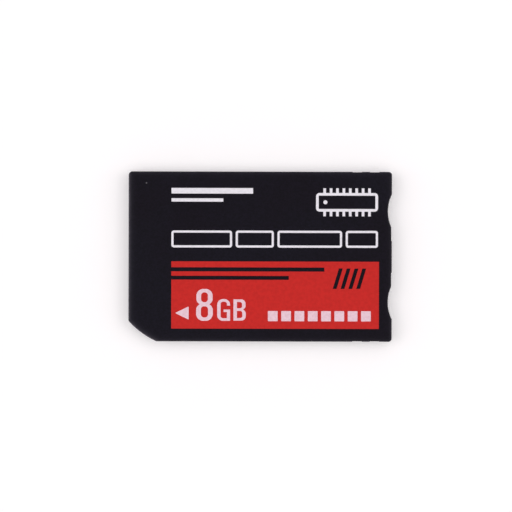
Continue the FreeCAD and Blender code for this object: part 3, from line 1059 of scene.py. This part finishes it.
    def chip_sign(self, right: float, top: float) -> bmesh.types.BMesh:
        """Draw the sign of a chip: a round-cornered frame with legs along two sides and a dot.

        Args:
            right: Where the sign's right side is.
            top: Where the ends of its upper legs are.

        Returns:
            The filled sheet.
        """
        left, foot = right - self.sign_width, top - self.sign_height + self.sign_leg_length
        tall = self.sign_height - 2 * self.sign_leg_length
        straight = self.sign_width - 2 * self.sign_radius
        gap = (straight - self.sign_legs * self.sign_leg_width) / (self.sign_legs + 1)
        outline = Outline().start((left + self.sign_radius, foot))
        for _ in range(self.sign_legged_sides):
            for _ in range(self.sign_legs):
                outline.run(gap).corner(Side.RIGHT).run(self.sign_leg_length).corner(Side.LEFT)
                outline.run(self.sign_leg_width).corner(Side.LEFT)
                outline.run(self.sign_leg_length).corner(Side.RIGHT)
            outline.run(gap).bend(Side.LEFT, self.sign_radius)
            outline.run(tall - 2 * self.sign_radius).bend(Side.LEFT, self.sign_radius)
        stroke = self.sign_stroke
        outline.box((left + stroke, foot + stroke), (right - stroke, foot + tall - stroke), self.ink_spread)
        sheet = outline.fill()
        dot = Matrix.Translation((left + self.sign_dot_inset, foot + tall / 2, 0.0))
        bmesh.ops.create_circle(sheet, cap_ends=True, segments=self.sign_dot_sides, radius=self.sign_dot,
                                matrix=dot)
        return sheet

    def fields(self, left: float, right: float, top: float) -> bmesh.types.BMesh:
        """Draw a row of empty boxes to write in, each with its share of the row.

        Args:
            left: Where the row starts.
            right: Where it ends.
            top: The boxes' upper edge.

        Returns:
            The filled sheet.
        """
        outline = Outline()
        foot, stroke = top - self.field_height, self.field_stroke
        inked = right - left - self.field_gap * (len(self.field_shares) - 1)
        for share in self.field_shares:
            end = left + inked * share
            outline.box((left, foot), (end, top), self.field_radius)
            outline.box((left + stroke, foot + stroke), (end - stroke, top - stroke), self.ink_spread)
            left = end + self.field_gap
        return outline.fill()

    def arrow(self, tip: float, middle: float) -> bmesh.types.BMesh:
        """Draw a solid arrowhead towards the insertion edge, with the corners a little round.

        Args:
            tip: Where the arrow's point is.
            middle: The height of its point.

        Returns:
            The filled sheet.
        """
        half = self.arrow_height / 2
        side = math.hypot(self.arrow_length, half)
        point = 2 * math.degrees(math.atan2(half, self.arrow_length))
        back = 90.0 - point / 2
        point_cut = self.ink_spread / math.tan(math.radians(point / 2))
        back_cut = self.ink_spread / math.tan(math.radians(back / 2))
        outline = Outline().start((tip + self.arrow_length, middle), 90.0)
        outline.run(half - back_cut).bend(Side.LEFT, self.ink_spread, 180.0 - back)
        outline.run(side - back_cut - point_cut).bend(Side.LEFT, self.ink_spread, 180.0 - point)
        outline.run(side - back_cut - point_cut).bend(Side.LEFT, self.ink_spread, 180.0 - back)
        return outline.run(half - back_cut).fill()

    def digit(self, left: float, foot: float) -> bmesh.types.BMesh:
        """Draw the capacity's digit, an 8 of two bowls round two open counters.

        Args:
            left: The digit's left side.
            foot: Its lower edge.

        Returns:
            The filled sheet.
        """
        bowls = self.digit_bowls
        middle = left + bowls.lower_reach
        outline = Outline().start((middle, foot)).run(bowls.lower_reach - bowls.foot_radius)
        bowls.draw_up(outline).run(2 * (bowls.upper_reach - bowls.head_radius))
        bowls.draw_down(outline).run(bowls.lower_reach - bowls.foot_radius)
        crossing = foot + bowls.waist
        half_stroke = self.digit_crossing / 2
        levels = ((foot + self.digit_stroke, crossing - half_stroke, bowls.lower_reach),
                  (crossing + half_stroke, foot + bowls.height - self.digit_stroke, bowls.upper_reach))
        for low, high, reach in levels:
            half = reach - self.digit_wall
            outline.box((middle - half, low), (middle + half, high), self.digit_counter_radius)
        return outline.fill()

    def letter_g(self, left: float, foot: float) -> bmesh.types.BMesh:
        """Draw the unit's first letter, round its outside from the lip and back round its inside.

        Args:
            left: The letter's left side.
            foot: Its lower edge.

        Returns:
            The filled sheet.
        """
        width, height, wall, stroke = self.letter_g_width, self.unit_height, self.unit_wall, self.unit_stroke
        outer, inner, spread = self.letter_g_radius, self.letter_g_hollow_radius, self.ink_spread
        right_wall = self.letter_g_right_wall
        hollow = width - wall - right_wall
        outline = Outline().start((left + width, foot + height - self.letter_g_lip), 90.0)
        outline.run(self.letter_g_lip - outer).bend(Side.LEFT, outer).run(width - 2 * outer)
        outline.bend(Side.LEFT, outer).run(height - 2 * outer).bend(Side.LEFT, outer)
        outline.run(width - outer - spread).bend(Side.LEFT, spread).run(self.letter_g_bar_rise - spread)
        outline.corner(Side.LEFT).run(self.letter_g_bar).corner(Side.LEFT).run(self.letter_g_bar_stroke)
        outline.corner(Side.LEFT).run(self.letter_g_bar - right_wall).corner(Side.RIGHT)
        throat = self.letter_g_bar_rise - self.letter_g_bar_stroke - stroke
        outline.run(throat - spread).bend(Side.RIGHT, spread)
        outline.run(hollow - spread - inner).bend(Side.RIGHT, inner).run(height - 2 * (stroke + inner))
        outline.bend(Side.RIGHT, inner).run(hollow - 2 * inner).bend(Side.RIGHT, inner)
        outline.run(self.letter_g_lip - stroke - inner).corner(Side.LEFT)
        return outline.run(right_wall).fill()

    def letter_b(self, left: float, foot: float) -> bmesh.types.BMesh:
        """Draw the unit's second letter: a straight stem with two bowls round two open counters.

        Args:
            left: The letter's left side.
            foot: Its lower edge.

        Returns:
            The filled sheet.
        """
        bowls, stroke, wall = self.letter_b_bowls, self.unit_stroke, self.unit_wall
        radius = self.letter_b_counter_radius
        outline = Outline().start((left, foot)).run(bowls.lower_reach - bowls.foot_radius)
        bowls.draw_up(outline).run(bowls.upper_reach - bowls.head_radius)
        outline.corner(Side.LEFT).run(bowls.height)
        crossing = foot + bowls.waist
        levels = ((foot + stroke, crossing - stroke / 2, bowls.lower_reach),
                  (crossing + stroke / 2, foot + bowls.height - stroke, bowls.upper_reach))
        for low, high, reach in levels:
            width, tall = reach - 2 * wall, high - low
            outline.start((left + wall, low)).run(width - radius).bend(Side.LEFT, radius)
            outline.run(tall - 2 * radius).bend(Side.LEFT, radius).run(width - radius)
            outline.corner(Side.LEFT).run(tall)
        return outline.fill()

    def gauge(self, right: float, foot: float) -> bmesh.types.BMesh:
        """Draw a row of equal cells.

        Args:
            right: Where the row ends.
            foot: The cells' lower edge.

        Returns:
            The filled sheet.
        """
        cell = (self.gauge_length - (self.gauge_cells - 1) * self.gauge_gap) / self.gauge_cells
        outline = Outline()
        for number in range(self.gauge_cells):
            end = right - number * (cell + self.gauge_gap)
            outline.box((end - cell, foot), (end, foot + self.gauge_height), self.ink_spread)
        return outline.fill()


@dataclass
class Studio:
    """A white table under soft light from both sides and above."""

    floor_size: float = 1600.0
    floor_drop: float = 0.004
    floor_colour: Rgb = (0.824, 0.787, 0.8)
    floor_lift: float = 0.226
    horizon: float = 1.0
    zenith: float = 0.05
    fade: Span = (0.05, 0.7)
    side_strength: float = 0.65
    side_elevation: float = 36.0
    side_angle: float = 45.0
    top_strength: float = 1.72
    top_angle: float = 110.0
    top_lean: float = 4.0

    def build(self) -> None:
        """Set up the floor, the surroundings and the lamps."""
        scene = bpy.context.scene
        scene.view_settings.view_transform = "Standard"
        self.build_floor()
        self.build_world()
        tilt = math.radians(90.0 - self.side_elevation)
        self.hang_lamp("left_lamp", self.side_strength, self.side_angle, (0.0, -tilt, 0.0))
        self.hang_lamp("right_lamp", self.side_strength, self.side_angle, (0.0, tilt, 0.0))
        # The top lamp gives even light and shows in no reflection.
        lean = math.radians(-self.top_lean)
        top = self.hang_lamp("top_lamp", self.top_strength, self.top_angle, (lean, 0.0, 0.0))
        top.visible_glossy = False
        top.data.cycles.use_multiple_importance_sampling = False

    def hang_lamp(self, name: str, strength: float, angle: float, turn: Triple) -> bpy.types.Object:
        """Hang a broad lamp far away.

        Args:
            name: The lamp's name.
            strength: Its strength.
            angle: How broad it looks, in degrees.
            turn: How it is turned from straight down, in radians.

        Returns:
            The lamp.
        """
        light = bpy.data.lights.new(name, "SUN")
        light.energy = strength
        light.angle = math.radians(angle)
        lamp = bpy.data.objects.new(name, light)
        lamp.rotation_euler = turn
        bpy.context.scene.collection.objects.link(lamp)
        return lamp

    def build_floor(self) -> None:
        """Lay the white table under the card."""
        shape = bmesh.new()
        bmesh.ops.create_grid(shape, x_segments=1, y_segments=1, size=self.floor_size * MM / 2,
                              matrix=Matrix.Translation((0.0, 0.0, -self.floor_drop * MM)))
        mesh = bpy.data.meshes.new("table")
        shape.to_mesh(mesh)
        shape.free()
        table = bpy.data.objects.new("table", mesh)
        bpy.context.scene.collection.objects.link(table)
        mesh.materials.append(self.floor_material())
        table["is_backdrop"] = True

    def floor_material(self) -> bpy.types.Material:
        """Make the table's white, lifted for the camera and for reflections alone.

        Returns:
            The material.
        """
        graph = Graph.of_material("white_table")
        seen = graph.add("ShaderNodeLightPath").outputs
        shown = graph.maths("MAXIMUM", seen["Is Camera Ray"], graph.maths(
            "MAXIMUM", seen["Is Glossy Ray"], seen["Is Transmission Ray"]))
        graph.finish(Base_Color=self.floor_colour, Roughness=1.0, Specular_IOR_Level=0.0,
                     Emission_Color=WHITE,
                     Emission_Strength=graph.maths("MULTIPLY", shown, self.floor_lift))
        return graph.owner

    def build_world(self) -> None:
        """Surround the card with light: white at the horizon, dark overhead and all white to the camera."""
        graph = Graph.of_world("studio")
        light = graph.ranged(graph.axis("Z"), self.fade, (self.horizon, self.zenith))
        seen = graph.add("ShaderNodeLightPath").outputs["Is Camera Ray"]
        graph.finish(Color=WHITE, Strength=graph.maths("MAXIMUM", light, seen))
        bpy.context.scene.world = graph.owner


@dataclass
class PhotoCamera:
    """The photograph's camera: straight above, with the card a little off centre and turned a little."""

    picture_pixels: int = 512
    card_middle_pixels: Spot = (260.2, 256.55)
    pixels_per_mm: float = 8.505
    lens: float = 100.0
    sensor: float = 36.0
    roll: float = 0.14

    def build(self) -> None:
        """Make the camera and hand it to the scene."""
        low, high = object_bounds()
        width = self.picture_pixels / self.pixels_per_mm * MM
        data = bpy.data.cameras.new("photo_camera")
        data.lens = self.lens
        data.sensor_width = self.sensor
        camera = bpy.data.objects.new("photo_camera", data)
        turn = math.radians(self.roll)
        middle = self.picture_pixels / 2
        shift = [(place - middle) / self.pixels_per_mm * MM for place in self.card_middle_pixels]
        aim = Matrix.Rotation(turn, 2, "Z") @ Vector((-shift[0], shift[1]))
        camera.location = (aim.x, aim.y, high.z + width * self.lens / self.sensor)
        camera.rotation_euler = (0.0, 0.0, turn)
        bpy.context.scene.collection.objects.link(camera)
        bpy.context.scene.camera = camera


def main() -> None:
    """Dress the card, print it, and set up the studio and the camera."""
    logging.basicConfig(level=logging.INFO, format="%(name)s %(message)s")
    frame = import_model()
    Case(frame).build()
    RedField(frame).dress()
    Electronics(frame).dress()
    WhitePrint().build()
    Studio().build()
    PhotoCamera().build()


if __name__ == "__main__":
    main()
